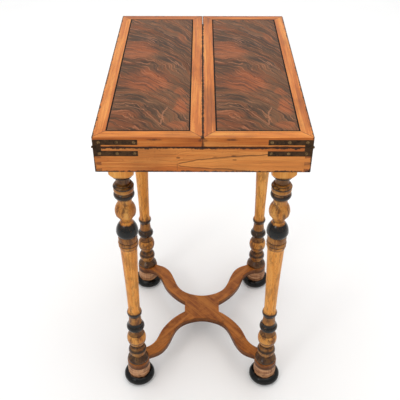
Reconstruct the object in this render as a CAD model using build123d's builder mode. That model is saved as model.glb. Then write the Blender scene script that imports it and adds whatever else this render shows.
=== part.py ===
from build123d import *
import os

# A folding card table: a shallow dovetailed box on four turned legs, closed by two
# leaves that swing out sideways on card table hinges. Millimetres, +Z up, the front
# faces -Y, and the origin lies on the floor below the middle of the table.

# Driving dimensions
table_height = 718.0
table_width = 354.0          # closed, left to right
table_depth = 513.0          # front to back
leaf_thickness = 18.0
box_height = 48.0
seam_gap = 0.4               # between the closed leaves and the rim of the box
leaf_gap = 0.8               # between the two closed leaves
leg_inset_x = 30.0           # from the side of the box in to the leg axis
leg_inset_y = 96.5           # from the front or back of the box in to the leg axis

# Leaf: mitred edging round a core board, veneered above and lined below
edging_width = 20.0
stringing_width = 2.6
veneer_thickness = 1.2
lining_thickness = 1.2
edge_rounding = 0.8
corner_rounding = 2.0        # at the upright corners of the leaves and the box

# Box
board_thickness = 12.0
bottom_thickness = 10.0
bed_thickness = 12.0
ledge_width = 10.0
ledge_height = 10.0
tail_run = 1.5               # how much each tail widens on each side
half_pin_height = 6.0        # at its narrow end
middle_pin_height = 4.0      # at its narrow end

# Leg: a square block with a turned shoulder at its lower end, and the turning below it
block_width = 44.5
block_height = 71.1
block_corner_radius = 2.5
shoulder_height = 16.5       # where the lathe has cut into the corners of the block
upper_turning_height = 180.0
lower_turning_height = 166.0
turned_radius = 22.6         # at the black ball
dowel_radius = 8.0
dowel_seat = 20.0            # how far the dowel goes into the foot
dowel_end_room = 1.0

# Under-frame rails between the leg blocks
rail_thickness = 16.0
rail_height = 40.0
tenon_thickness = 8.0
tenon_height = 28.0
tenon_length = 14.0

# Stretcher and feet
stretcher_thickness = 14.5
stretcher_easing = 1.5
pad_radius = 25.0
foot_height = 49.5
foot_radius = 35.0
foot_sole_radius = 25.0
bun_height = 21.5
collar_radius = 25.6
collar_end_radius = 24.4

# Card table hinges, let in flush at the front and back faces
strap_height = 10.0
strap_length = 72.7
tab_width = 14.0
upper_strap_offset = 4.0     # from the underside of the leaf to the upper strap
lower_strap_offset = 6.8     # from the rim of the box to the lower strap
plate_thickness = 2.4
pin_radius = 0.8
knuckle_radius = 1.7
knuckle_clearance = 0.35
pin_clearance = 0.05
pivot_offset = 0.2           # from the side of the box out to the hinge axis

# Screws
hinge_screw_radius = 1.4
hinge_screw_head_radius = 2.7
hinge_screw_head_height = 1.5
hinge_screw_length = 11.0
hinge_screw_tip = 3.0
slot_width = 0.7
slot_depth = 0.6
frame_screw_radius = 2.0
frame_screw_head_radius = 4.0
frame_screw_head_height = 2.4
frame_screw_length = 24.0
frame_screw_tip = 4.0
frame_screw_grip = 8.0       # how far the screw goes into the bottom board
counterbore_clearance = 0.5

# Shapes given as shares of the sizes above.
# Each row of a turning: how far down its group it ends, the radius half-way, the
# radius at its end. A straight row has no radius half-way. Radii are shares of
# turned_radius, depths are shares of the height of the group.
upper_turning_shares = [
    (0.008, None, 0.840),    # rim under the shoulder of the block
    (0.025, None, 0.560),    # neck
    (0.080, 0.565, 0.600),
    (0.100, None, 0.570),
    (0.103, None, 0.680),    # thin ring on the upper flange
    (0.118, 0.745, 0.705),
    (0.128, None, 0.825),    # upper flange
    (0.150, 0.880, 0.845),
    (0.154, None, 0.825),
    (0.196, 0.855, 0.820),   # pale band between the flanges
    (0.200, None, 0.765),
    (0.212, None, 0.778),
    (0.284, 0.882, 0.700),   # lower flange
    (0.361, 0.612, 0.608),   # cove
    (0.508, 0.886, 0.852),   # pear
    (0.592, 0.630, 0.485),
    (0.625, 0.510, 0.600),   # pale ring on the ball
    (0.735, 0.870, 0.965),   # black ball
    (0.785, 0.958, 0.880),
    (0.797, None, 0.815),
    (0.812, None, 0.840),
    (0.864, 0.848, 0.838),   # drum under the ball
    (0.873, None, 0.805),
    (0.915, 0.885, 0.855),   # first bead
    (0.924, None, 0.825),
    (0.953, 0.870, 0.835),   # second bead
    (1.000, None, 0.758),
]
taper_shares = [(1.000, 0.628, 0.558)]
lower_turning_shares = [
    (0.040, 0.568, 0.611),
    (0.125, 0.715, 0.600),   # first ring
    (0.247, 0.580, 0.625),
    (0.295, 0.655, 0.720),
    (0.395, 0.865, 0.660),   # second ring
    (0.455, 0.560, 0.645),
    (0.700, 0.932, 0.565),   # bulb
    (0.738, 0.520, 0.637),
    (0.883, 0.900, 0.670),   # third ring
    (0.910, 0.640, 0.690),
    (0.952, 0.823, 0.973),   # ring on the stretcher
    (1.000, 1.055, 1.020),
]
# The shoulder in the same way: depths are shares of shoulder_height, and radii are
# shares of half the width of the block.
shoulder_start_share = 1.530
shoulder_shares = [
    (0.350, 1.375, 1.270),
    (0.600, None, 1.150),
    (0.720, None, 1.000),
    (1.000, 0.940, 0.863),
]

# The middles of the dovetail pins between the half pins, up the height of the box
middle_pin_shares = (0.358, 0.646)

# One arm of the stretcher seen from above, from the middle of the table to the pad
# round the leg: shares of half the leg spacing across and of half the leg spacing
# front to back. The side edge faces left or right, the end edge front or back.
side_edge_shares = [
    (0.290, 0.101),
    (0.422, 0.194),
    (0.571, 0.347),
    (0.667, 0.500),
    (0.714, 0.619),
    (0.769, 0.719),
    (0.857, 0.794),
    (0.950, 0.838),
    (1.020, 0.872),
]
end_edge_shares = [
    (0.204, 0.278),
    (0.340, 0.350),
    (0.408, 0.425),
    (0.490, 0.603),
    (0.544, 0.731),
    (0.612, 0.838),
    (0.707, 0.913),
    (0.810, 0.956),
    (0.890, 1.000),
]
middle_edge_share = 0.241    # front to back, where the end edges are nearest
lap_corner_share = (0.095, 0.250)
hinge_screw_shares = (0.145, 0.535, 0.920)       # along a strap
side_rail_screw_share = 0.35
cross_rail_screw_share = 0.40

# Places worked out from the sizes above
half_width = table_width / 2
half_depth = table_depth / 2
leg_spacing_x = table_width - 2 * leg_inset_x
leg_spacing_y = table_depth - 2 * leg_inset_y
leg_x = leg_spacing_x / 2
leg_y = leg_spacing_y / 2
leaf_bottom_z = table_height - leaf_thickness
box_top_z = leaf_bottom_z - seam_gap
box_bottom_z = box_top_z - box_height
bed_top_z = box_top_z - lining_thickness
bed_bottom_z = bed_top_z - bed_thickness
pivot_z = leaf_bottom_z - seam_gap / 2
pivot_x = half_width + pivot_offset
block_bottom_z = box_bottom_z - block_height
stretcher_top_z = foot_height + stretcher_thickness
taper_height = block_bottom_z - stretcher_top_z - upper_turning_height - lower_turning_height
inner_edge_x = leaf_gap / 2
panel_inner_x = inner_edge_x + edging_width
panel_outer_x = half_width - edging_width
panel_half_depth = half_depth - edging_width
panel_width = panel_outer_x - panel_inner_x
panel_middle_x = (panel_inner_x + panel_outer_x) / 2
well_width = table_width - 2 * board_thickness
well_depth = table_depth - 2 * board_thickness
upper_strap_z = leaf_bottom_z + upper_strap_offset + strap_height / 2
lower_strap_z = box_top_z - lower_strap_offset - strap_height / 2
rail_middle_z = box_bottom_z - rail_height / 2
side_rail_length = leg_spacing_y - block_width
cross_rail_length = leg_spacing_x - block_width

SIDES = {"right": 1, "left": -1}
ENDS = {"front": -1, "back": 1}

os.makedirs("parts", exist_ok=True)


def save(piece, name):
    """Label a finished piece and write it to its own file."""
    piece.part.label = name
    export_step(piece.part, "parts/" + name + ".step")


def at_corner(piece, side, end):
    """Copy of a piece of the right front corner, mirrored to another corner."""
    placed = piece.part
    if side < 0:
        placed = mirror(placed, about=Plane.YZ, mode=Mode.PRIVATE)
    if end > 0:
        placed = mirror(placed, about=Plane.XZ, mode=Mode.PRIVATE)
    return placed


# Screws, made with the head up at the origin

def make_screw(radius, head_radius, head_height, length, tip, countersunk, slotted):
    """A slotted wood screw, or the hole that it fills when it isn't slotted."""
    with BuildPart() as screw:
        with BuildSketch(Plane.XZ):
            with BuildLine():
                if countersunk:
                    under_head = [(head_radius, 0), (radius, -head_height)]
                else:
                    under_head = [(head_radius, 0), (head_radius, -head_height), (radius, -head_height)]
                shank = [(radius, tip - length), (0, -length)]
                Polyline((0, 0), *under_head, *shank, close=True)
            make_face()
        revolve(axis=Axis.Z)
        if slotted:
            with BuildSketch(Plane.XY):
                Rectangle(2 * head_radius, slot_width)
            extrude(amount=-slot_depth, mode=Mode.SUBTRACT)
    return screw


hinge_screw_sizes = (
    hinge_screw_radius, hinge_screw_head_radius, hinge_screw_head_height,
    hinge_screw_length, hinge_screw_tip, True,
)
frame_screw_sizes = (
    frame_screw_radius, frame_screw_head_radius, frame_screw_head_height,
    frame_screw_length, frame_screw_tip, False,
)
hinge_screw = make_screw(*hinge_screw_sizes, slotted=True)
hinge_screw_hole = make_screw(*hinge_screw_sizes, slotted=False)
frame_screw = make_screw(*frame_screw_sizes, slotted=True)
frame_screw_hole = make_screw(*frame_screw_sizes, slotted=False)


def strap_screw_places(side, end, strap_z):
    """Where the screws of one strap sit, with their heads facing out of the table."""
    return [
        Plane(
            origin=(side * (half_width - share * strap_length), end * half_depth, strap_z),
            x_dir=(0, 0, 1),
            z_dir=(0, end, 0),
        ).location
        for share in hinge_screw_shares
    ]


def screw_places(strap_z, sides):
    return [
        place
        for side in sides
        for end in ENDS.values()
        for place in strap_screw_places(side, end, strap_z)
    ]


def make_screws(strap_z, sides, screw):
    with BuildPart() as screws:
        with Locations(screw_places(strap_z, sides)):
            add(screw.part)
    return screws


# The closed table top seen from above, with its rounded corners, as high as the table

with BuildPart() as rounded_plan:
    with BuildSketch(Plane.XY):
        RectangleRounded(table_width, table_depth, corner_rounding)
    extrude(amount=table_height)


# Hinges at the right front corner, drawn on the front face

front_face = Plane.XZ.offset(half_depth)
lap_face = Plane.XZ.offset(half_depth - plate_thickness / 2)


def plate_outline(edge_z, strap_z):
    """Corners of one plate: a strap, and a tab from its outer end to the seam."""
    rise = strap_height / 2 if strap_z > edge_z else -strap_height / 2
    strap_end_x = half_width - strap_length
    tab_inner_x = half_width - tab_width
    return [
        (half_width, edge_z),
        (half_width, strap_z + rise),
        (strap_end_x, strap_z + rise),
        (strap_end_x, strap_z - rise),
        (tab_inner_x, strap_z - rise),
        (tab_inner_x, edge_z),
    ]


leaf_plate_outline = plate_outline(leaf_bottom_z, upper_strap_z)
box_plate_outline = plate_outline(box_top_z, lower_strap_z)


def make_plate(outline, own_layer, other_layer, hole_radius, strap_z):
    """One plate. Its knuckle is half as thick as the plate and laps the other's."""
    with BuildPart() as plate:
        with BuildSketch(front_face):
            with BuildLine():
                Polyline(*outline, close=True)
            make_face()
        extrude(amount=-plate_thickness)
        add(rounded_plan.part, mode=Mode.INTERSECT)
        with BuildSketch(other_layer):
            with Locations((pivot_x, pivot_z)):
                Circle(knuckle_radius + knuckle_clearance)
        extrude(amount=-plate_thickness / 2, mode=Mode.SUBTRACT)
        with BuildSketch(own_layer):
            with Locations((pivot_x, pivot_z)):
                Circle(knuckle_radius)
        extrude(amount=-plate_thickness / 2)
        with BuildSketch(own_layer):
            with Locations((pivot_x, pivot_z)):
                Circle(hole_radius)
        extrude(amount=-plate_thickness / 2, mode=Mode.SUBTRACT)
        with Locations(strap_screw_places(SIDES["right"], ENDS["front"], strap_z)):
            add(hinge_screw_hole.part, mode=Mode.SUBTRACT)
    return plate


leaf_plate = make_plate(
    leaf_plate_outline, front_face, lap_face, pin_radius + pin_clearance, upper_strap_z
)
box_plate = make_plate(box_plate_outline, lap_face, front_face, pin_radius, lower_strap_z)

with BuildPart() as hinge_pin:
    with BuildSketch(front_face):
        with Locations((pivot_x, pivot_z)):
            Circle(pin_radius)
    extrude(amount=-plate_thickness)

# The recess that both plates and the knuckle lie in
with BuildPart() as hinge_recess:
    with BuildSketch(front_face):
        with BuildLine():
            Polyline(*leaf_plate_outline, close=True)
        make_face()
        with BuildLine():
            Polyline(*box_plate_outline, close=True)
        make_face()
        with Locations((pivot_x, pivot_z)):
            Circle(knuckle_radius + knuckle_clearance)
    extrude(amount=-plate_thickness)

for side_name, side in SIDES.items():
    for end_name, end in ENDS.items():
        for made, part_name in ((leaf_plate, "leaf_plate"), (box_plate, "box_plate"), (hinge_pin, "pin")):
            with BuildPart() as placed:
                add(at_corner(made, side, end))
            save(placed, side_name + "_" + end_name + "_hinge_" + part_name)
    save(make_screws(upper_strap_z, [side], hinge_screw), side_name + "_leaf_screws")
save(make_screws(lower_strap_z, SIDES.values(), hinge_screw), "box_hinge_screws")


def cut_hinges(sides, strap_z):
    """Cut the recesses and the screw holes of the hinges out of the piece being made."""
    for side in sides:
        for end in ENDS.values():
            add(at_corner(hinge_recess, side, end), mode=Mode.SUBTRACT)
    with Locations(screw_places(strap_z, sides)):
        add(hinge_screw_hole.part, mode=Mode.SUBTRACT)


# Leaves

def plan_prism(points, bottom_z, height):
    """An upright prism over an outline seen from above."""
    with BuildPart() as prism:
        with BuildSketch(Plane.XY.offset(bottom_z)):
            with BuildLine():
                Polyline(*points, close=True)
            make_face()
        extrude(amount=height)
    return prism


def make_panel(width, depth, bottom_z, height, middle_x):
    """A flat board centred front to back."""
    with BuildPart() as board:
        with BuildSketch(Plane(origin=(middle_x, 0, bottom_z))):
            Rectangle(width, depth)
        extrude(amount=height)
    return board


def leaf_edging_outlines(side):
    """Outlines of the four mitred edging pieces, seen from above."""
    outer_back = (side * half_width, half_depth)
    outer_front = (side * half_width, -half_depth)
    inner_back = (side * inner_edge_x, half_depth)
    inner_front = (side * inner_edge_x, -half_depth)
    panel_outer_back = (side * panel_outer_x, panel_half_depth)
    panel_outer_front = (side * panel_outer_x, -panel_half_depth)
    panel_inner_back = (side * panel_inner_x, panel_half_depth)
    panel_inner_front = (side * panel_inner_x, -panel_half_depth)
    return {
        "outer_stile": [outer_front, outer_back, panel_outer_back, panel_outer_front],
        "inner_stile": [inner_front, inner_back, panel_inner_back, panel_inner_front],
        "front_rail": [inner_front, outer_front, panel_outer_front, panel_inner_front],
        "back_rail": [inner_back, outer_back, panel_outer_back, panel_inner_back],
    }


for side_name, side in SIDES.items():
    leaf_name = side_name + "_leaf_"
    blank_width = half_width - inner_edge_x
    blank_middle_x = side * (half_width + inner_edge_x) / 2
    with BuildPart() as leaf_blank:
        with BuildSketch(Plane(origin=(blank_middle_x, 0, leaf_bottom_z))):
            Rectangle(blank_width, table_depth)
        extrude(amount=leaf_thickness)
        add(rounded_plan.part, mode=Mode.INTERSECT)
        outer_faces = leaf_blank.faces().group_by(Axis.Z)
        fillet(outer_faces[0].edges() + outer_faces[-1].edges(), radius=edge_rounding)
        cut_hinges([side], upper_strap_z)

    for piece_name, outline in leaf_edging_outlines(side).items():
        with BuildPart() as edging:
            add(plan_prism(outline, leaf_bottom_z, leaf_thickness).part)
            add(leaf_blank.part, mode=Mode.INTERSECT)
        save(edging, leaf_name + piece_name)

    middle_x = side * panel_middle_x
    core_height = leaf_thickness - veneer_thickness - lining_thickness
    core_bottom_z = leaf_bottom_z + lining_thickness
    veneer_z = table_height - veneer_thickness
    core = make_panel(panel_width, 2 * panel_half_depth, core_bottom_z, core_height, middle_x)
    save(core, leaf_name + "core_board")
    lining = make_panel(panel_width, 2 * panel_half_depth, leaf_bottom_z, lining_thickness, middle_x)
    save(lining, leaf_name + "baize")
    veneer_width = panel_width - 2 * stringing_width
    veneer_depth = 2 * (panel_half_depth - stringing_width)
    veneer = make_panel(veneer_width, veneer_depth, veneer_z, veneer_thickness, middle_x)
    save(veneer, leaf_name + "veneer_panel")
    with BuildPart() as stringing:
        with BuildSketch(Plane(origin=(middle_x, 0, veneer_z))):
            Rectangle(panel_width, 2 * panel_half_depth)
            Rectangle(veneer_width, veneer_depth, mode=Mode.SUBTRACT)
        extrude(amount=veneer_thickness)
    save(stringing, leaf_name + "stringing")


# Box: four boards joined by through dovetails, with the tails on the front and back

with BuildPart() as box_ring:
    with BuildSketch(Plane.XY.offset(box_bottom_z)):
        RectangleRounded(table_width, table_depth, corner_rounding)
    extrude(amount=box_height)
    ring_faces = box_ring.faces().group_by(Axis.Z)
    fillet(ring_faces[0].edges() + ring_faces[-1].edges(), radius=edge_rounding)
    with BuildSketch(Plane.XY.offset(box_bottom_z)):
        Rectangle(well_width, well_depth)
    extrude(amount=box_height, mode=Mode.SUBTRACT)
    cut_hinges(SIDES.values(), lower_strap_z)


def middle_pin_outline(middle_z):
    half_pin = middle_pin_height / 2
    outer_x = half_width
    inner_x = half_width - board_thickness
    return [
        (outer_x, middle_z - half_pin),
        (outer_x, middle_z + half_pin),
        (inner_x, middle_z + half_pin + tail_run),
        (inner_x, middle_z - half_pin - tail_run),
    ]


def pin_outlines():
    """Pins at the right corner on the front face: narrow outside, wide inside."""
    outer_x = half_width
    inner_x = half_width - board_thickness
    middle_pins = [middle_pin_outline(box_bottom_z + box_height * share) for share in middle_pin_shares]
    return middle_pins + [
        [
            (outer_x, box_bottom_z),
            (outer_x, box_bottom_z + half_pin_height),
            (inner_x, box_bottom_z + half_pin_height + tail_run),
            (inner_x, box_bottom_z),
        ],
        [
            (outer_x, box_top_z),
            (outer_x, box_top_z - half_pin_height),
            (inner_x, box_top_z - half_pin_height - tail_run),
            (inner_x, box_top_z),
        ],
    ]


with BuildPart() as corner_pins:
    with BuildSketch(front_face):
        for outline in pin_outlines():
            with BuildLine():
                Polyline(*outline, close=True)
            make_face()
    extrude(amount=-board_thickness)

for side_name, side in SIDES.items():
    with BuildPart() as side_board:
        with BuildSketch(Plane(origin=(side * (half_width - board_thickness / 2), 0, box_bottom_z))):
            Rectangle(board_thickness, well_depth)
        extrude(amount=box_height)
        for end in ENDS.values():
            add(at_corner(corner_pins, side, end))
        add(box_ring.part, mode=Mode.INTERSECT)
    save(side_board, "box_" + side_name + "_board")

for end_name, end in ENDS.items():
    with BuildPart() as end_board:
        with BuildSketch(Plane(origin=(0, end * (half_depth - board_thickness / 2), box_bottom_z))):
            Rectangle(table_width, board_thickness)
        extrude(amount=box_height)
        for side in SIDES.values():
            add(at_corner(corner_pins, side, end), mode=Mode.SUBTRACT)
        add(box_ring.part, mode=Mode.INTERSECT)
    save(end_board, "box_" + end_name + "_board")

save(make_panel(well_width, well_depth, bed_bottom_z, bed_thickness, 0), "playing_bed")
save(make_panel(well_width, well_depth, bed_top_z, lining_thickness, 0), "playing_bed_baize")

with BuildPart() as bed_ledges:
    with BuildSketch(Plane.XY.offset(bed_bottom_z)):
        with GridLocations(well_width - ledge_width, 0, 2, 1):
            Rectangle(ledge_width, well_depth)
    extrude(amount=-ledge_height)
save(bed_ledges, "bed_ledges")

# Under-frame: rails tenoned into the leg blocks and screwed up into the bottom board

frame_screw_head_z = box_bottom_z + frame_screw_grip - frame_screw_length
frame_screw_places = [
    Plane(origin=(x, y, frame_screw_head_z), z_dir=(0, 0, -1)).location
    for x, y in [
        (side * leg_x, end * leg_y * side_rail_screw_share)
        for side in SIDES.values()
        for end in ENDS.values()
    ] + [
        (side * leg_x * cross_rail_screw_share, end * leg_y)
        for side in SIDES.values()
        for end in ENDS.values()
    ]
]

with BuildPart() as bottom_board:
    add(make_panel(well_width, well_depth, box_bottom_z, bottom_thickness, 0).part)
    with Locations(frame_screw_places):
        add(frame_screw_hole.part, mode=Mode.SUBTRACT)
save(bottom_board, "box_bottom_board")

with BuildPart() as frame_screws:
    with Locations(frame_screw_places):
        add(frame_screw.part)
save(frame_screws, "frame_screws")


def rail_body(middle_x, middle_y, along_y, thickness, height, length):
    """A rail or its tenons, centred on a leg line below the box."""
    size = (thickness, length) if along_y else (length, thickness)
    with BuildPart() as body:
        with BuildSketch(Plane(origin=(middle_x, middle_y, rail_middle_z))):
            Rectangle(*size)
        extrude(amount=height / 2, both=True)
    return body


def rail_tenons(middle_x, middle_y, along_y):
    """The two tenons of a rail, as one bar that runs through it."""
    shoulders = side_rail_length if along_y else cross_rail_length
    length = shoulders + 2 * tenon_length
    return rail_body(middle_x, middle_y, along_y, tenon_thickness, tenon_height, length)


rails = {
    "right_side_rail": (leg_x, 0, True),
    "left_side_rail": (-leg_x, 0, True),
    "front_cross_rail": (0, -leg_y, False),
    "back_cross_rail": (0, leg_y, False),
}
for rail_name, (middle_x, middle_y, along_y) in rails.items():
    shoulders = side_rail_length if along_y else cross_rail_length
    with BuildPart() as rail:
        add(rail_body(middle_x, middle_y, along_y, rail_thickness, rail_height, shoulders).part)
        add(rail_tenons(middle_x, middle_y, along_y).part)
        with Locations(frame_screw_places):
            add(frame_screw_hole.part, mode=Mode.SUBTRACT)
            Cylinder(
                frame_screw_head_radius + counterbore_clearance,
                rail_height,
                align=(Align.CENTER, Align.CENTER, Align.MIN),
                mode=Mode.SUBTRACT,
            )
    save(rail, rail_name)


# Legs

def turn_group(start, top_z, height, shares, full_radius=turned_radius):
    """Draw the rows of one group of turnings and give back where it ends."""
    here = start
    for depth_share, middle_share, end_share in shares:
        there = (full_radius * end_share, top_z - height * depth_share)
        if middle_share is None:
            Line(here, there)
        else:
            half_way = (full_radius * middle_share, (here[1] + there[1]) / 2)
            ThreePointArc(here, half_way, there)
        here = there
    return here


def make_leg(side, end):
    x, y = side * leg_x, end * leg_y
    across = Plane(origin=(x, y, 0), x_dir=(1, 0, 0), z_dir=(0, -1, 0))
    leg_axis = Axis((x, y, 0), (0, 0, 1))
    with BuildPart() as leg:
        with BuildSketch(Plane(origin=(x, y, block_bottom_z))):
            RectangleRounded(block_width, block_width, block_corner_radius)
        extrude(amount=block_height)
        with BuildSketch(across):
            with BuildLine():
                full_radius = block_width / 2
                shoulder_z = block_bottom_z + shoulder_height
                shoulder = (full_radius * shoulder_start_share, shoulder_z)
                Polyline((0, block_bottom_z), (0, box_bottom_z), (shoulder[0], box_bottom_z), shoulder)
                here = turn_group(shoulder, shoulder_z, shoulder_height, shoulder_shares, full_radius)
                Line(here, (0, block_bottom_z))
            make_face()
        revolve(axis=leg_axis, mode=Mode.INTERSECT)
        with BuildSketch(across):
            with BuildLine():
                Line((0, block_bottom_z), here)
                taper_top_z = block_bottom_z - upper_turning_height
                taper_bottom_z = taper_top_z - taper_height
                here = turn_group(here, block_bottom_z, upper_turning_height, upper_turning_shares)
                here = turn_group(here, taper_top_z, taper_height, taper_shares)
                here = turn_group(here, taper_bottom_z, lower_turning_height, lower_turning_shares)
                Line(here, (0, stretcher_top_z))
                Line((0, stretcher_top_z), (0, block_bottom_z))
            make_face()
        revolve(axis=leg_axis)
        with BuildSketch(Plane(origin=(x, y, stretcher_top_z))):
            Circle(dowel_radius)
        extrude(amount=-(stretcher_thickness + dowel_seat))
        add(rail_tenons(x, 0, True).part, mode=Mode.SUBTRACT)
        add(rail_tenons(0, y, False).part, mode=Mode.SUBTRACT)
    return leg


def make_foot(side, end):
    """A bun foot with its collar, bored for the dowel of the leg."""
    x, y = side * leg_x, end * leg_y
    with BuildPart() as foot:
        with BuildSketch(Plane(origin=(x, y, 0), x_dir=(1, 0, 0), z_dir=(0, -1, 0))):
            with BuildLine():
                Line((0, 0), (foot_sole_radius, 0))
                bun_top = (collar_end_radius, bun_height)
                ThreePointArc((foot_sole_radius, 0), (foot_radius, bun_height / 2), bun_top)
                collar_middle = (collar_radius, (bun_height + foot_height) / 2)
                ThreePointArc(bun_top, collar_middle, (collar_end_radius, foot_height))
                Polyline((collar_end_radius, foot_height), (0, foot_height), (0, 0))
            make_face()
        revolve(axis=Axis((x, y, 0), (0, 0, 1)))
        with BuildSketch(Plane(origin=(x, y, foot_height))):
            Circle(dowel_radius)
        extrude(amount=-(dowel_seat + dowel_end_room), mode=Mode.SUBTRACT)
    return foot


for side_name, side in SIDES.items():
    for end_name, end in ENDS.items():
        save(make_leg(side, end), end_name + "_" + side_name + "_leg")
        save(make_foot(side, end), end_name + "_" + side_name + "_foot")


# Stretcher: two serpentine pieces halved together, with a pad round each leg

def arm_point(shares, side, end):
    return (side * leg_x * shares[0], end * leg_y * shares[1])


def cross_outline():
    """All four arms in one closed line that runs through the middle of each pad."""
    for side in SIDES.values():
        edges = [[arm_point(row, side, end) for row in side_edge_shares] for end in ENDS.values()]
        Line(edges[0][0], edges[1][0])
        for edge, end in zip(edges, ENDS.values()):
            Spline(*edge)
            Line(edge[-1], (side * leg_x, end * leg_y))
    for end in ENDS.values():
        edges = [[arm_point(row, side, end) for row in end_edge_shares] for side in SIDES.values()]
        Spline(*reversed(edges[0]), (0, end * leg_y * middle_edge_share), *edges[1])
        for edge, side in zip(edges, SIDES.values()):
            Line(edge[-1], (side * leg_x, end * leg_y))


with BuildPart() as pads:
    with BuildSketch(Plane.XY.offset(foot_height)):
        with GridLocations(leg_spacing_x, leg_spacing_y, 2, 2):
            Circle(pad_radius)
    extrude(amount=stretcher_thickness)
    fillet(pads.edges().filter_by(GeomType.CIRCLE), radius=stretcher_easing)

with BuildPart() as cross:
    with BuildSketch(Plane.XY.offset(foot_height)):
        with BuildLine():
            cross_outline()
        make_face()
    extrude(amount=stretcher_thickness)
    flat_faces = cross.faces().group_by(Axis.Z)
    rims = flat_faces[0].edges() + flat_faces[-1].edges()
    fillet(rims.filter_by(GeomType.BSPLINE), radius=stretcher_easing)
    add(pads.part)
    with BuildSketch(Plane.XY.offset(foot_height)):
        with GridLocations(leg_spacing_x, leg_spacing_y, 2, 2):
            Circle(dowel_radius)
    extrude(amount=stretcher_thickness, mode=Mode.SUBTRACT)


def half_of_cross(side):
    """Outline round the two arms of one piece and its share of the middle.

    The piece runs from the back on the given side to the front on the other side.
    """
    flat_x, flat_y = arm_point(side_edge_shares[0], side, 1)
    lap_x, lap_y = arm_point(lap_corner_share, side, 1)
    far_x, far_y = side * table_width, table_depth
    back_half = [(flat_x, -flat_y), (flat_x, flat_y), (far_x, flat_y), (far_x, far_y), (-lap_x, far_y)]
    back_half.append((-lap_x, lap_y))
    front_half = [(-corner_x, -corner_y) for corner_x, corner_y in back_half]
    return back_half + front_half


through_prism = plan_prism(half_of_cross(-1), foot_height, stretcher_thickness)
lower_prism = plan_prism(half_of_cross(1), foot_height, stretcher_thickness / 2)

with BuildPart() as upper_stretcher:
    add(cross.part)
    add(through_prism.part, mode=Mode.INTERSECT)
    add(lower_prism.part, mode=Mode.SUBTRACT)
save(upper_stretcher, "upper_stretcher")

with BuildPart() as lower_stretcher:
    add(cross.part)
    add(upper_stretcher.part, mode=Mode.SUBTRACT)
save(lower_stretcher, "lower_stretcher")
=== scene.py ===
"""Looks of the folding card table: finishes, floor, light and camera."""

import math

import bpy
from mathutils import Euler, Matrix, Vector


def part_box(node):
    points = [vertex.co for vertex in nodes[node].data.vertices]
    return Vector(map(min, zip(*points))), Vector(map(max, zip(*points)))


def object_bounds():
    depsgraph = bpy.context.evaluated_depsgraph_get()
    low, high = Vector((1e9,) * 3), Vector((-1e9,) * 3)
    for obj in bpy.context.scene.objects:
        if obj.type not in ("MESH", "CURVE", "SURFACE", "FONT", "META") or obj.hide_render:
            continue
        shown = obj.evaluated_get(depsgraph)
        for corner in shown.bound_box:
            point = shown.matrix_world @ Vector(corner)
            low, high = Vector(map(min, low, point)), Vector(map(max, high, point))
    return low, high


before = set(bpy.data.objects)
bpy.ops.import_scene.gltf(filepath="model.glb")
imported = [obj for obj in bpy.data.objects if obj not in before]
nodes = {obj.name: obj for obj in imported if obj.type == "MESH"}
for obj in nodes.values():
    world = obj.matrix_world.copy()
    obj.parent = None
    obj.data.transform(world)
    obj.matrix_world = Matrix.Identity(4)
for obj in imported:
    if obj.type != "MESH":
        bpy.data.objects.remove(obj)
cad_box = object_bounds()
MM = 0.001
AXES = "xyz"

# Camera: where the photograph was taken from, its angles in degrees, and its lens and
# sensor in millimetres. A camera that isn't turned looks straight down.
CAMERA_PLACE = (-3.2 * MM, -1122.3 * MM, 1250.9 * MM)
CAMERA_LEVEL = 90
CAMERA_PITCH_DOWN = 37.17
CAMERA_YAW = 0.09
CAMERA_ROLL = 0.07
CAMERA_LENS = 57.63
CAMERA_SENSOR = 36.0


def make_camera():
    camera = bpy.data.objects.new("camera", bpy.data.cameras.new("camera"))
    bpy.context.scene.collection.objects.link(camera)
    camera.data.lens = CAMERA_LENS
    camera.data.sensor_width = CAMERA_SENSOR
    camera.location = CAMERA_PLACE
    pitch = math.radians(CAMERA_LEVEL - CAMERA_PITCH_DOWN)
    turn = Euler((pitch, 0, math.radians(CAMERA_YAW)), "XYZ")
    roll = Euler((0, 0, math.radians(CAMERA_ROLL)), "XYZ")
    camera.rotation_euler = (turn.to_matrix() @ roll.to_matrix()).to_euler("XYZ")
    bpy.context.scene.camera = camera


make_camera()

# Places along the table, taken from the frame
top_z = cad_box[1][2]
leaf_bottom_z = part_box("right_leaf_outer_stile")[0].z
half_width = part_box("right_leaf_outer_stile")[1].x
half_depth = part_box("right_leaf_outer_stile")[1].y
inner_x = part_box("right_leaf_inner_stile")[0].x
pad_low, pad_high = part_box("upper_stretcher")


def linear(red, green, blue):
    """A screen colour from 0 to 255 as the linear colour that shaders take."""
    shares = [channel / 255 for channel in (red, green, blue)]
    return tuple(s / 12.92 if s <= 0.04045 else ((s + 0.055) / 1.055) ** 2.4 for s in shares) + (1,)


def metres(lengths):
    """Lengths in millimetres as metres."""
    return tuple(length * MM for length in lengths)


def seeds(first, step, pieces):
    """Pairs of a seed and a piece. The seed moves the grain, so that no two pieces look alike."""
    return [(first + step * number, piece) for number, piece in enumerate(pieces)]


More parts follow.
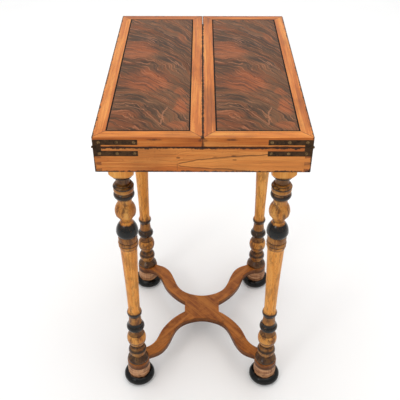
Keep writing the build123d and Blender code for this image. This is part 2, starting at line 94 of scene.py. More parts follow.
class Finish:
    """A material whose nodes are added one call at a time."""

    # The sockets of a mix of colours, which come after those of the other kinds of mix
    MIX_FIRST = 6
    MIX_SECOND = 7
    MIX_RESULT = 2

    def __init__(self, name):
        self.material = bpy.data.materials.new(name)
        self.material.use_nodes = True
        self.tree = self.material.node_tree
        self.shader = self.tree.nodes["Principled BSDF"]
        coordinates = self.tree.nodes.new("ShaderNodeTexCoord")
        self.place = coordinates.outputs["Object"]
        self.normal = coordinates.outputs["Normal"]

    def put(self, socket, value):
        """Links another node's socket to this one, or sets this one to a constant."""
        if isinstance(value, bpy.types.NodeSocket):
            self.tree.links.new(value, socket)
        else:
            socket.default_value = value

    def math(self, operation, first, second=None, third=None, clamp=False):
        node = self.tree.nodes.new("ShaderNodeMath")
        node.operation = operation
        node.use_clamp = clamp
        for socket, value in zip(node.inputs, (first, second, third)):
            if value is not None:
                self.put(socket, value)
        return node.outputs[0]

    def plus(self, first, second):
        return self.math("ADD", first, second)

    def minus(self, first, second):
        return self.math("SUBTRACT", first, second)

    def times(self, first, second):
        return self.math("MULTIPLY", first, second)

    def over(self, first, second):
        return self.math("DIVIDE", first, second)

    def times_plus(self, first, second, third):
        """first times second, plus third."""
        return self.math("MULTIPLY_ADD", first, second, third)

    def unsigned(self, value):
        """The value without its sign."""
        return self.math("ABSOLUTE", value)

    def lower(self, first, second):
        return self.math("MINIMUM", first, second)

    def higher(self, first, second):
        return self.math("MAXIMUM", first, second)

    def highest(self, values):
        top = values[0]
        for value in values[1:]:
            top = self.higher(top, value)
        return top

    def length(self, first, second):
        """The length of the long side of a right angle with these two sides."""
        return self.math("SQRT", self.plus(self.math("POWER", first, 2), self.math("POWER", second, 2)))

    def weigh(self, first, second, share):
        """A share of the first value and the rest of the second."""
        return self.plus(self.times(first, share), self.times(second, 1 - share))

    def vector(self, operation, first, second):
        node = self.tree.nodes.new("ShaderNodeVectorMath")
        node.operation = operation
        self.put(node.inputs[0], first)
        self.put(node.inputs[1], second)
        return node.outputs["Vector"]

    def split(self, vector, axes=AXES):
        """The parts of a vector along the axes that are named."""
        node = self.tree.nodes.new("ShaderNodeSeparateXYZ")
        self.put(node.inputs[0], vector)
        return [node.outputs[AXES.index(axis)] for axis in axes]

    def part(self, vector, axis):
        """The part of a vector along one axis."""
        return self.split(vector, axis)[0]

    def join(self, x, y, z):
        node = self.tree.nodes.new("ShaderNodeCombineXYZ")
        for socket, value in zip(node.inputs, (x, y, z)):
            self.put(socket, value)
        return node.outputs[0]

    def stretch(self, vector, scale, shift=(0, 0, 0)):
        """The vector moved by shift and then multiplied by scale, axis by axis."""
        return self.vector("MULTIPLY", self.vector("ADD", vector, shift), scale)

    def noise(self, vector, scale=1.0, detail=2.0, roughness=0.5, distortion=0.0):
        node = self.tree.nodes.new("ShaderNodeTexNoise")
        self.put(node.inputs["Vector"], vector)
        node.inputs["Scale"].default_value = scale
        node.inputs["Detail"].default_value = detail
        node.inputs["Roughness"].default_value = roughness
        node.inputs["Distortion"].default_value = distortion
        return node.outputs["Fac"]

    def centred_noise(self, vector, **settings):
        """Noise that swings round 0 instead of 0.5."""
        return self.minus(self.noise(vector, **settings), 0.5)

    def cells(self, vector):
        node = self.tree.nodes.new("ShaderNodeTexVoronoi")
        self.put(node.inputs["Vector"], vector)
        node.inputs["Scale"].default_value = 1.0
        return node.outputs["Distance"]

    def between(self, value, low, high, start=0.0, end=1.0):
        """Rises smoothly from start to end while value goes from low to high."""
        node = self.tree.nodes.new("ShaderNodeMapRange")
        node.interpolation_type = "SMOOTHSTEP"
        for socket, number in zip(node.inputs, (value, low, high, start, end)):
            self.put(socket, number)
        return node.outputs[0]

    def ramp(self, value, steps, colours):
        """Goes through the colours as value passes the steps, which are in rising order."""
        node = self.tree.nodes.new("ShaderNodeValToRGB")
        points = node.color_ramp.elements
        while len(points) < len(steps):
            points.new(steps[0])
        for point, step in zip(points, steps):
            point.position = step
        for point, colour in zip(points, colours):
            point.color = colour
        self.put(node.inputs[0], value)
        return node.outputs[0]

    def mix(self, share, first, second, blend="MIX"):
        """The first colour, with a share of the second laid over it."""
        node = self.tree.nodes.new("ShaderNodeMix")
        node.data_type = "RGBA"
        node.blend_type = blend
        self.put(node.inputs[0], share)
        self.put(node.inputs[self.MIX_FIRST], first)
        self.put(node.inputs[self.MIX_SECOND], second)
        return node.outputs[self.MIX_RESULT]

    def tint(self, colour, other, value, low, high, most):
        """Lays other over colour, by up to the share most as value goes from low to high."""
        return self.mix(self.between(value, low, high, end=most), colour, other)

    def darken(self, colour, share):
        """The colour multiplied by 1 - share."""
        grey = self.math("SUBTRACT", 1.0, share, clamp=True)
        return self.mix(1.0, colour, self.join(grey, grey, grey), blend="MULTIPLY")

    def shade(self, colour, value, low, high, most):
        """Darkens colour, by up to the share most as value goes from low to high."""
        return self.darken(colour, self.between(value, low, high, end=most))

    def bump(self, heights):
        """Heights in metres, as a list of (socket, height that the value 1 stands for)."""
        total = None
        for value, height in heights:
            part = self.times(value, height)
            total = part if total is None else self.plus(total, part)
        node = self.tree.nodes.new("ShaderNodeBump")
        node.inputs["Strength"].default_value = 1.0
        node.inputs["Distance"].default_value = 1.0
        self.put(node.inputs["Height"], total)
        self.put(self.shader.inputs["Normal"], node.outputs[0])

    def complete(self, colour, roughness, coat=0.0, metallic=0.0, specular=0.35):
        self.put(self.shader.inputs["Base Color"], colour)
        self.put(self.shader.inputs["Roughness"], roughness)
        self.put(self.shader.inputs["Metallic"], metallic)
        self.put(self.shader.inputs["Coat Weight"], coat)
        self.put(self.shader.inputs["Specular IOR Level"], specular)
        return self.material


def paint(material, *names):
    """Gives the material to the whole of each node that is named."""
    for name in names:
        slots = nodes[name].data.materials
        if len(slots) == 0:
            slots.append(material)
        for index in range(len(slots)):
            slots[index] = material


# Wood
HONEY = (linear(150, 76, 24), linear(198, 111, 42), linear(226, 148, 72))
FRONT_TONES = (linear(166, 88, 30), linear(214, 127, 48), linear(238, 162, 80))
INNER_TONES = (linear(120, 84, 48), linear(168, 124, 76), linear(188, 146, 98))
WOOD_STEPS = (0.36, 0.48, 0.60)
# Dark brown of dirt, stains and joints, and of painted shade along edges and on the stretcher's sides
DIRT_AND_SHADE_COLOUR = linear(38, 19, 9)
EDGE_REACH = 1.6 * MM
EDGE_DARK = 0.75
EDGE_RAGGED_SHARE = 4
EDGE_BORDER_SHARES = (1.25, 0.5)
BANDS_SHARE = 0.58
PORE_DARK = 0.55
WOOD_COAT = 0.05
WOOD_SPECULAR = 0.2
STREAK_HEIGHT = 0.06 * MM
FIBRE_HEIGHT = 0.03 * MM
PORE_HEIGHT = -0.08 * MM


class Grain:
    """Straight grain that runs along one axis. It repeats so many times in a metre across
    the wood and lengthways."""

    SEED_SHIFT = (1.73, 0.91, 2.37)

    def __init__(self, finish, along, seed, place=None):
        self.finish = finish
        self.along = along
        self.shift = tuple(seed * share for share in self.SEED_SHIFT)
        self.place = finish.place if place is None else place

    def stretched(self, across, lengthways):
        scale = tuple(lengthways if axis == self.along else across for axis in AXES)
        return self.finish.stretch(self.place, scale, self.shift)

    def bands(self):
        place = self.stretched(across=42, lengthways=3.2)
        return self.finish.noise(place, detail=3, roughness=0.55, distortion=0.6)

    def streaks(self):
        place = self.stretched(across=260, lengthways=7)
        return self.finish.noise(place, detail=4, roughness=0.6, distortion=0.3)

    def fibres(self):
        return self.finish.noise(self.stretched(across=1500, lengthways=42), detail=2, roughness=0.6)

    def pores(self):
        cells = self.finish.cells(self.stretched(across=900, lengthways=60))
        return self.finish.between(cells, low=0.16, high=0.05)


def edge_nearness(finish, low, high, reach):
    """1 on the edges of a board and 0 away from them, with a ragged border. A place is near
    an edge where it is near two faces at once. None in low leaves out that face."""
    distances = []
    for value, start, end in zip(finish.split(finish.place), low, high):
        distance = finish.minus(end, value)
        if start is not None:
            distance = finish.lower(finish.minus(value, start), distance)
        distances.append(distance)
    first, second, third = distances
    total = finish.plus(finish.plus(first, second), third)
    least = finish.lower(finish.lower(first, second), third)
    most = finish.higher(finish.higher(first, second), third)
    middle = finish.minus(finish.minus(total, least), most)
    ragged = finish.centred_noise(finish.place, scale=130, detail=4, roughness=0.7)
    ragged = finish.times(ragged, EDGE_RAGGED_SHARE * reach)
    outside, inside = (share * reach for share in EDGE_BORDER_SHARES)
    return finish.between(finish.plus(middle, ragged), outside, inside)


def wood(name, along, seed, low, high, tones=HONEY, edge=EDGE_REACH, edge_dark=EDGE_DARK, changes=()):
    """Polished wood of a board from low to high, dark along its edges with dirt and painted shade.
    changes holds functions that change the colour before the edges are darkened."""
    finish = Finish(name)
    grain = Grain(finish, along, seed)
    streaks, fibres, pores = grain.streaks(), grain.fibres(), grain.pores()
    colour = finish.ramp(finish.weigh(grain.bands(), streaks, BANDS_SHARE), WOOD_STEPS, tones)
    patch_place = finish.stretch(finish.place, scale=(14, 14, 14), shift=(seed, 0, seed))
    patches = finish.noise(patch_place, detail=2)
    colour = finish.shade(colour, patches, low=0.50, high=0.72, most=0.26)
    colour = finish.shade(colour, fibres, low=0.48, high=0.75, most=0.3)
    colour = finish.darken(colour, finish.times(pores, PORE_DARK))
    fleck_place = finish.stretch(finish.place, scale=(170, 170, 170), shift=(0, 0, seed))
    flecks = finish.noise(fleck_place, detail=5, roughness=0.75)
    colour = finish.shade(colour, flecks, low=0.56, high=0.68, most=0.22)
    for change in changes:
        colour = change(finish, colour)
    # Dark edges: partly dirt, partly painted shade of the gaps between parts and under the box
    near = edge_nearness(finish, low, high, edge)
    colour = finish.mix(finish.times(near, edge_dark), colour, DIRT_AND_SHADE_COLOUR)
    finish.bump([(streaks, STREAK_HEIGHT), (fibres, FIBRE_HEIGHT), (pores, PORE_HEIGHT)])
    roughness = finish.between(streaks, low=0.3, high=0.7, start=0.36, end=0.5)
    return finish.complete(colour, roughness, coat=WOOD_COAT, specular=WOOD_SPECULAR)


# Thin dark lines where the edging pieces of a leaf meet. They show near its top alone,
# and set in between two heights above its underside.
MITRE_WIDTH = 1.3 * MM
MITRE_CORE_WIDTH = 0.5 * MM
MITRE_WOBBLE = 0.6 * MM
MITRE_HEIGHTS = (12 * MM, 16 * MM)
MITRE_DARK = 0.85


def mitre_lines(finish, colour):
    x, y, z = finish.split(finish.place)
    from_outer = finish.minus(half_width, finish.unsigned(x))
    from_inner = finish.minus(finish.unsigned(x), inner_x)
    from_end = finish.minus(half_depth, finish.unsigned(y))
    offset = finish.unsigned(finish.minus(finish.lower(from_outer, from_inner), from_end))
    wobble = finish.noise(finish.place, scale=220, detail=2)
    offset = finish.times_plus(wobble, MITRE_WOBBLE, offset)
    clear_z, full_z = (leaf_bottom_z + height for height in MITRE_HEIGHTS)
    on_top = finish.between(z, clear_z, full_z)
    line = finish.times(finish.between(offset, MITRE_WIDTH, MITRE_CORE_WIDTH), on_top)
    return finish.mix(finish.times(line, MITRE_DARK), colour, DIRT_AND_SHADE_COLOUR)


# Faces that point to the front are made deeper and redder than the top
FRONT_TINT = linear(150, 66, 14)
LEAF_FRONT_TINT_SHARE = 0.45
BOX_FRONT_TINT_SHARE = 0.22


def front_tint(share):
    def add_tint(finish, colour):
        facing_front = finish.between(finish.part(finish.normal, "y"), low=-0.4, high=-0.9)
        return finish.mix(finish.times(facing_front, share), colour, FRONT_TINT)

    return add_tint


BLOT_CORE_SHARE = 0.45


def blot(finish, x, y, middle, size):
    """1 in the middle of a soft oval spot and 0 outside it. size is half its width and
    half its height."""
    across = finish.over(finish.minus(x, middle[0]), size[0])
    up = finish.over(finish.minus(y, middle[1]), size[1])
    return finish.between(finish.length(across, up), low=1.0, high=BLOT_CORE_SHARE)


# A dark line of uneven width along the joint between the leaves and the box: dirt, and painted shade of
# the groove there
SEAM_COLOUR = linear(58, 22, 12)
SEAM_LEAST_WIDTH = 0.1 * MM
SEAM_MORE_WIDTH = 3.0 * MM
SEAM_DARK = 0.85


def seam_dirt_and_shade(finish, colour):
    off = finish.unsigned(finish.minus(finish.part(finish.place, "z"), leaf_bottom_z))
    ragged = finish.noise(finish.stretch(finish.place, scale=(60, 60, 300)), detail=4, roughness=0.7)
    width = finish.times_plus(ragged, SEAM_MORE_WIDTH, SEAM_LEAST_WIDTH)
    line = finish.between(finish.over(off, width), low=1.3, high=0.6)
    facing_up = finish.unsigned(finish.part(finish.normal, "z"))
    upright = finish.between(facing_up, low=0.8, high=0.4)
    # Painted shade of the groove at the joint, with dirt, on upright faces only
    return finish.mix(finish.times(finish.times(line, upright), SEAM_DARK), colour, SEAM_COLOUR)


# Dark stains on the front, in millimetres: the middle of each, from the middle of the
# table and below its top, and half its width and height. On the leaves they are smudges
# under the top edge and round the gap, and on the box knots and a crack.
STAIN_DARK = 0.7
LEAF_STAINS = [
    ((-78, 4), (17, 2.6)),
    ((46, 4), (14, 2.4)),
    ((0, 5), (10, 4.5)),
    ((0, 14), (3.0, 9)),
    ((-140, 16.5), (14, 2.0)),
    ((128, 16.5), (20, 1.8)),
]
BOX_STAINS = [
    ((-40, 38), (4.5, 2.6)),
    ((50, 34.5), (5.5, 2.2)),
    ((51.5, 42), (4.5, 2.0)),
    ((-41.8, 56), (1.0, 10)),
    ((20, 36.3), (5.5, 1.2)),
    ((-39, 19), (3.5, 2.2)),
    ((-118, 19), (3.5, 2.2)),
]


def stains(spots):
    def add_stains(finish, colour):
        x, z = finish.split(finish.place, "xz")
        ragged = finish.noise(finish.place, scale=170, detail=4, roughness=0.7)
        for (across, down), size in spots:
            middle = (across * MM, top_z - down * MM)
            share = blot(finish, x, z, middle, metres(size))
            share = finish.times(share, finish.between(ragged, low=0.35, high=0.6, start=0.25, end=1.0))
            colour = finish.mix(finish.times(share, STAIN_DARK), colour, DIRT_AND_SHADE_COLOUR)
        return colour

    return add_stains


# Edging of the leaves: the axis that the grain of each piece follows
LEAF_EDGING = {"outer_stile": "y", "inner_stile": "y", "front_rail": "x", "back_rail": "x"}
LEAF_EDGE_REACH = 2.3 * MM
LEAF_EDGE_DARK = 0.92
PIECE_SEED_STEP = 0.83


def leaf_edging(side, piece, seed):
    """The dirt and painted shade follow the edges of the whole leaf, but not those of its front face.
    """
    name = f"{side}_leaf_{piece}"
    outer_low, outer_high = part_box(f"{side}_leaf_outer_stile")
    inner_low, inner_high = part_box(f"{side}_leaf_inner_stile")
    low = (min(outer_low.x, inner_low.x), None, outer_low.z)
    high = (max(outer_high.x, inner_high.x), outer_high.y, outer_high.z)
    changes = (front_tint(LEAF_FRONT_TINT_SHARE), mitre_lines, seam_dirt_and_shade, stains(LEAF_STAINS))
    if piece == "back_rail":
        changes = (mitre_lines,)
    return wood(
        name + "_wood",
        LEAF_EDGING[piece],
        seed,
        low,
        high,
        tones=FRONT_TONES if piece == "front_rail" else HONEY,
        edge=EDGE_REACH if piece == "inner_stile" else LEAF_EDGE_REACH,
        edge_dark=LEAF_EDGE_DARK,
        changes=changes,
    )


for seed, side in seeds(3.1, 2.7, ("right", "left")):
    for piece in LEAF_EDGING:
        material = leaf_edging(side, piece, seed + PIECE_SEED_STEP * len(piece))
        paint(material, f"{side}_leaf_{piece}")


# Front of the box: an arched figure that opens to the right. Its tip is in millimetres
# from the middle of the table and below its top, and its upper arm is the steeper one.
# Distances to the right of the tip are in millimetres too, and those above the arch in
# millimetres divided by its slope.
ARCH_TIP = (-41, 51)
ARCH_UPPER_SLOPE = 1.6
ARCH_LOWER_SLOPE = 1.2
ARCH_WOBBLE = 8 * MM
ARCH_START = (0.0, 3.0)
ARCH_BORDER = (0.6, -1.0)
ARCH_LINE_WIDTHS = (1.1, 0.3)
ARCH_LIGHT = 0.45
ARCH_LINE_DARK = 0.6
FINE_REPEATS_PER_METRE = 12
FINE_REPEATS_PER_MM = 1.3


def arched_figure(finish, colour):
    x, z = finish.split(finish.place, "xz")
    tip_x, tip_z = ARCH_TIP[0] * MM, top_z - ARCH_TIP[1] * MM
    wobble = finish.noise(finish.place, scale=28, detail=3)
    up = finish.minus(finish.times_plus(wobble, ARCH_WOBBLE, z), tip_z + ARCH_WOBBLE / 2)
    above = finish.times(finish.higher(up, 0.0), 1 / ARCH_UPPER_SLOPE)
    below = finish.times(finish.lower(up, 0.0), -1 / ARCH_LOWER_SLOPE)
    rise = finish.over(finish.plus(above, below), MM)
    run = finish.higher(finish.over(finish.minus(x, tip_x), MM), 0.0)
    from_arch = finish.minus(rise, finish.math("SQRT", run))
    fine_along = finish.times(x, FINE_REPEATS_PER_METRE)
    fine_across = finish.times(from_arch, FINE_REPEATS_PER_MM)
    fine = finish.noise(finish.join(0.0, fine_along, fine_across), detail=4)
    started = finish.between(run, *ARCH_START)
    inside = finish.times(finish.between(from_arch, *ARCH_BORDER), started)
    colour = finish.mix(finish.times(inside, ARCH_LIGHT), colour, HONEY[2])
    colour = finish.shade(colour, fine, low=0.50, high=0.66, most=0.30)
    line = finish.times(finish.between(finish.unsigned(from_arch), *ARCH_LINE_WIDTHS), started)
    return finish.darken(colour, finish.times(line, ARCH_LINE_DARK))


# End grain, darker and redder, where the pins of the side boards of the box come through
# its front and back face
END_GRAIN_TONES = (linear(78, 38, 18), linear(132, 70, 34))
END_GRAIN_DEPTHS = (2.0 * MM, 0.5 * MM)
END_GRAIN_SHARE = 0.65


def end_grain(finish, colour):
    start, end = (half_depth - depth for depth in END_GRAIN_DEPTHS)
    near = finish.between(finish.unsigned(finish.part(finish.place, "y")), start, end)
    rings = finish.noise(finish.stretch(finish.place, scale=(260, 40, 700)), detail=3)
    dark = finish.ramp(rings, steps=(0.35, 0.65), colours=END_GRAIN_TONES)
    return finish.mix(finish.times(near, END_GRAIN_SHARE), colour, dark)


# Boards of the box and the boards inside it: the axis that the grain of each one follows
BOX_BOARDS = {
    "box_front_board": "x",
    "box_back_board": "x",
    "box_left_board": "y",
    "box_right_board": "y",
}
BOX_EDGE_REACH = 2.8 * MM
BOX_EDGE_DARK = 0.95
INNER_BOARDS = {
    "left_leaf_core_board": "y",
    "right_leaf_core_board": "y",
    "playing_bed": "y",
    "box_bottom_board": "y",
    "bed_ledges": "y",
    "left_side_rail": "y",
    "right_side_rail": "y",
    "front_cross_rail": "x",
    "back_cross_rail": "x",
}


def box_board(name, seed):
    """The dirt and painted shade follow the edges of the whole box."""
    low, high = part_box(name)
    along = BOX_BOARDS[name]
    changes = (end_grain,) if along == "y" else ()
    if name == "box_front_board":
        changes = (front_tint(BOX_FRONT_TINT_SHARE), arched_figure, seam_dirt_and_shade, stains(BOX_STAINS))
    return wood(
        name + "_wood",
        along,
        seed,
        (-half_width, -half_depth, low.z),
        (half_width, half_depth, high.z),
        edge=BOX_EDGE_REACH,
        edge_dark=BOX_EDGE_DARK,
        changes=changes,
    )


def inner_board(name, seed):
    low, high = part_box(name)
    tones = HONEY if name.endswith("rail") else INNER_TONES
    return wood(name + "_wood", INNER_BOARDS[name], seed, low, high, tones=tones)


for seed, name in seeds(11.3, 1.9, BOX_BOARDS):
    paint(box_board(name, seed), name)
for seed, name in seeds(21.7, 1.3, INNER_BOARDS):
    paint(inner_board(name, seed), name)


# Veneer: nearly the same figure on both panels, cut one after the other from one block.
# Places and sizes are in millimetres from the middle of the panel. A patch has its
# middle, half its width and height, and how red it is; a dark band its middle and half
# its width and height; a pale vein its two ends.
RED_PATCHES = [
    ((-35, 75), (38, 45), 0.8),
    ((-15, -55), (48, 50), 1.0),
    ((48, -100), (12, 15), 0.7),
    ((52, -155), (13, 32), 1.0),
    ((-45, -185), (30, 14), 0.6),
    ((-40, -215), (35, 20), 0.6),
    ((45, -215), (18, 12), 0.6),
    ((-50, 185), (20, 18), 0.35),
    ((45, 130), (15, 35), 0.35),
]
RED_SPREAD = 1.25
DARK_BANDS = [
    ((-40, 12), (45, 15)),
    ((-30, -128), (50, 16)),
    ((0, -168), (34, 20)),
    ((20, 30), (30, 22)),
]
BAND_DARK = 0.34
PALE_VEINS = [
    ((-8, -174), (18, -214)),
    ((18, -214), (27, -158)),
    ((-64, 157), (-6, 122)),
    ((20, 38), (40, 8)),
    ((34, 24), (56, -14)),
    ((-42, -152), (-10, -168)),
    ((8, 160), (30, 134)),
]
VEIN_WIDTH = 1.5 * MM
VEIN_CORE_SHARE = 0.4
VEIN_SHARE = 0.42
VEIN_COLOUR = linear(186, 124, 88)
DULL_TONES = (linear(78, 52, 30), linear(96, 64, 38), linear(112, 76, 48))
WARM_TONES = (linear(116, 60, 28), linear(140, 74, 38), linear(162, 92, 52))
LIGHT_LINE = linear(152, 80, 44)
LIGHT_LINE_SHARE = 0.28
LIGHT_LINE_MORE_IN_RED = 0.2
LIGHT_STROKE = linear(186, 118, 80)
VENEER_SPECULAR = 0.12

# The figure slants to the front on its way to the right, and bends there more and more
# from the start of the bend. Slow and quick noise move it by up to half of the sways.
FIGURE_SLANT = 0.45
FIGURE_BEND = 7.5
BEND_START = -30 * MM
SLOW_SWAY = 90 * MM
QUICK_SWAY = 22 * MM
LENGTH_SWAY = 60 * MM
PATCH_SWAY = 40 * MM
VEIN_SWAY = 14 * MM
VENEER_LINE_HEIGHT = 0.04 * MM
VENEER_HAIR_HEIGHT = 0.02 * MM


def vein(finish, x, y, start, end):
    """1 on the line from start to end and 0 further from it than the width of a vein."""
    run, rise = end[0] - start[0], end[1] - start[1]
    from_x = finish.minus(x, start[0])
    from_y = finish.minus(y, start[1])
    along = finish.plus(finish.times(from_x, run), finish.times(from_y, rise))
    share = finish.math("DIVIDE", along, run * run + rise * rise, clamp=True)
    off_x = finish.times_plus(share, -run, from_x)
    off_y = finish.times_plus(share, -rise, from_y)
    return finish.between(finish.length(off_x, off_y), VEIN_WIDTH, VEIN_CORE_SHARE * VEIN_WIDTH)


def redness(finish, x, y, bands):
    shares = []
    for middle, size, amount in RED_PATCHES:
        spread = tuple(length * RED_SPREAD for length in metres(size))
        shares.append(finish.times(blot(finish, x, y, metres(middle), spread), amount))
    banded = finish.between(bands, low=0.36, high=0.56, start=0.35, end=1.0)
    return finish.times(finish.highest(shares), banded)


def veneer(name, node, seed):
    finish = Finish(name)
    low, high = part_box(node)
    place = finish.vector("SUBTRACT", finish.place, tuple((low + high) / 2))
    slow = finish.centred_noise(place, scale=9, detail=2)
    quick = finish.centred_noise(place, scale=42, detail=3, roughness=0.6)
    x, y = finish.split(place, "xy")
    right = finish.higher(finish.minus(x, BEND_START), 0.0)
    bend = finish.times(finish.times(right, right), FIGURE_BEND)
    across = finish.plus(finish.times_plus(x, FIGURE_SLANT, y), bend)
    across = finish.times_plus(slow, SLOW_SWAY, across)
    across = finish.times_plus(quick, QUICK_SWAY, across)
    along = finish.times_plus(slow, LENGTH_SWAY, x)

    def figure(lengthways, crossways, shift, detail=2):
        """Noise that repeats so many times in a metre along the figure and across it."""
        spread = finish.join(finish.times(along, lengthways), finish.times(across, crossways), shift)
        return finish.noise(spread, detail=detail, roughness=0.6)

    bands = figure(lengthways=5, crossways=24, shift=0.4 + seed)
    lines = figure(lengthways=13, crossways=125, shift=1.7, detail=3)
    strokes = figure(lengthways=26, crossways=300, shift=4.1)
    hairs = figure(lengthways=40, crossways=700, shift=2.3)

    patch_x = finish.times_plus(quick, PATCH_SWAY, x)
    patch_y = finish.times_plus(slow, PATCH_SWAY, y)
    red = redness(finish, patch_x, patch_y, bands)
    dull = finish.ramp(bands, steps=(0.36, 0.48, 0.62), colours=DULL_TONES)
    warm = finish.ramp(bands, steps=(0.34, 0.48, 0.62), colours=WARM_TONES)
    colour = finish.mix(red, dull, warm)
    dark = [blot(finish, patch_x, patch_y, metres(middle), metres(size)) for middle, size in DARK_BANDS]
    colour = finish.darken(colour, finish.times(finish.highest(dark), BAND_DARK))

    light = finish.times_plus(red, LIGHT_LINE_MORE_IN_RED, LIGHT_LINE_SHARE)
    light = finish.times(finish.between(lines, low=0.50, high=0.60), light)
    colour = finish.mix(light, colour, LIGHT_LINE)
    colour = finish.shade(colour, lines, low=0.47, high=0.38, most=0.46)
    colour = finish.shade(colour, strokes, low=0.46, high=0.36, most=0.42)
    colour = finish.tint(colour, LIGHT_STROKE, strokes, low=0.57, high=0.66, most=0.5)
    vein_x = finish.times_plus(quick, VEIN_SWAY, x)
    vein_y = finish.times_plus(quick, -VEIN_SWAY, y)
    for start, end in PALE_VEINS:
        share = vein(finish, vein_x, vein_y, metres(start), metres(end))
        colour = finish.mix(finish.times(share, VEIN_SHARE), colour, VEIN_COLOUR)
    colour = finish.shade(colour, hairs, low=0.5, high=0.75, most=0.35)
    finish.bump([(lines, VENEER_LINE_HEIGHT), (hairs, VENEER_HAIR_HEIGHT)])
    roughness = finish.between(lines, low=0.3, high=0.7, start=0.36, end=0.48)
    return finish.complete(colour, roughness, specular=VENEER_SPECULAR)


for seed, side in seeds(0.0, 0.06, ("left", "right")):
    node = f"{side}_leaf_veneer_panel"
    paint(veneer(node + "_wood", node, seed), node)


# Black stringing round the panels, worn down to brown in spots
STRINGING_TONES = (linear(10, 6, 4), linear(52, 28, 14))
STRINGING_HEIGHT = 0.05 * MM
STRINGING_SPECULAR = 0.08


def black_line():
    finish = Finish("black_line")
    spots = finish.noise(finish.stretch(finish.place, scale=(300, 300, 300)), detail=4)
    colour = finish.ramp(spots, steps=(0.45, 0.72), colours=STRINGING_TONES)
    finish.bump([(spots, STRINGING_HEIGHT)])
    roughness = finish.between(spots, low=0.3, high=0.7, start=0.5, end=0.7)
    return finish.complete(colour, roughness, specular=STRINGING_SPECULAR)


paint(black_line(), "left_leaf_stringing", "right_leaf_stringing")


# Legs: honey wood with black and brown paint on the rings. A row has the depth below the
# top of the table in millimetres, and how black and how brown the paint is there. The
# rows are in two lists, because a colour ramp holds 32 of them.
LEG_PAINT = [
    (64, 0.0, 0.0),
    (129, 0.0, 0.05),
    (132, 0.25, 0.6),
    (134, 0.95, 0.8),
    (140, 0.95, 0.8),
    (142, 0.45, 0.95),
    (154, 0.45, 0.95),
    (156, 0.8, 0.8),
    (158, 0.95, 0.7),
    (164, 0.95, 0.7),
    (166, 0.1, 0.6),
    (172, 0.1, 0.6),
    (174, 0.8, 0.7),
    (177, 0.95, 0.8),
    (187, 0.95, 0.8),
    (189, 0.4, 0.7),
    (193, 0.0, 0.4),
    (230, 0.0, 0.35),
    (240, 0.05, 0.5),
    (244, 0.3, 0.8),
    (246, 0.0, 0.1),
    (249, 0.0, 0.1),
    (251, 1.0, 0.6),
    (279, 1.0, 0.6),
    (281, 0.1, 0.75),
    (293, 0.1, 0.75),
    (294, 0.9, 1.0),
    (296, 0.1, 0.6),
    (301, 0.1, 0.6),
    (303, 0.8, 1.0),
    (305, 0.1, 0.3),
]
LOWER_LEG_PAINT = [
    (306, 0.1, 0.2),
    (311, 0.3, 0.6),
    (313, 0.0, 0.0),
    (492, 0.0, 0.0),
    (496, 0.1, 0.4),
    (498, 0.95, 0.7),
    (509, 0.95, 0.7),
    (511, 0.1, 0.75),
    (529, 0.1, 0.75),
    (532, 1.0, 0.6),
    (553, 1.0, 0.6),
    (556, 0.35, 0.85),
    (566, 0.25, 0.8),
    (567, 0.9, 1.0),
    (569, 0.0, 0.3),
    (586, 0.0, 0.35),
    (588, 0.8, 1.0),
    (590, 0.05, 0.65),
    (604, 0.05, 0.65),
    (607, 0.9, 0.9),
    (610, 0.6, 0.9),
    (612, 0.25, 0.75),
    (616, 0.85, 0.9),
    (619, 0.85, 0.9),
    (621, 0.15, 0.65),
    (634, 0.15, 0.65),
    (636, 0.0, 0.3),
    (638, 0.7, 0.9),
    (653, 0.75, 0.9),
]
PAINT_BLACK = linear(5, 8, 8)
PAINT_BROWN = linear(82, 48, 26)
LEG_TONES = (linear(166, 90, 30), linear(214, 139, 56), linear(238, 174, 90))
LEG_STEPS = (0.30, 0.47, 0.66)

# Depths in millimetres between which something on the legs sets in or ends: paint that is
# rubbed off, the turned part with its smears, and the taper with fewer of them
RUBBED_END = (200, 240)
TURNED_START = (180, 200)
TAPER_START = (300, 330)
TAPER_END = (500, 470)

# The borders of the paint wobble by up to half of this, in millimetres too
PAINT_WOBBLE = 2.2
LOWER_WEAR_SHARE = 0.2
BROWN_WEAR_SHARE = 0.6
SPECK_DARK = 0.6
SMEAR_SHARE = 0.75
TAPER_SMEAR_LOSS = 0.4
LEG_BANDS_SHARE = 0.6
LEG_PORE_DARK = 0.5
LEG_STREAK_HEIGHT = 0.05 * MM
CHIP_HEIGHT = 0.03 * MM
LEG_COAT = 0.06

# Black paint is smoother than wood and shines more
PAINT_SMOOTHER = 0.28
PAINT_MORE_SPECULAR = 0.1

# How much paint each leg has lost, and how black it is
LEG_WEAR = {
    "front_left": (0.45, 1.0),
    "front_right": (0.9, 1.0),
    "back_left": (0.45, 0.92),
    "back_right": (0.5, 0.92),
}


def leg_paint(finish, depth):
    """How black and how brown the paint is at a depth."""
    amounts = []
    for rows in (LEG_PAINT, LOWER_LEG_PAINT):
        start = rows[0][0]
        length = rows[-1][0] - start
        steps = [(row[0] - start) / length for row in rows]
        colours = [(row[1], row[2], 0, 1) for row in rows]
        amounts.append(finish.ramp(finish.over(finish.minus(depth, start), length), steps, colours))
    border = (LEG_PAINT[-1][0] + LOWER_LEG_PAINT[0][0]) / 2
    is_lower = finish.math("GREATER_THAN", depth, border)
    return finish.split(finish.mix(is_lower, *amounts), "xy")


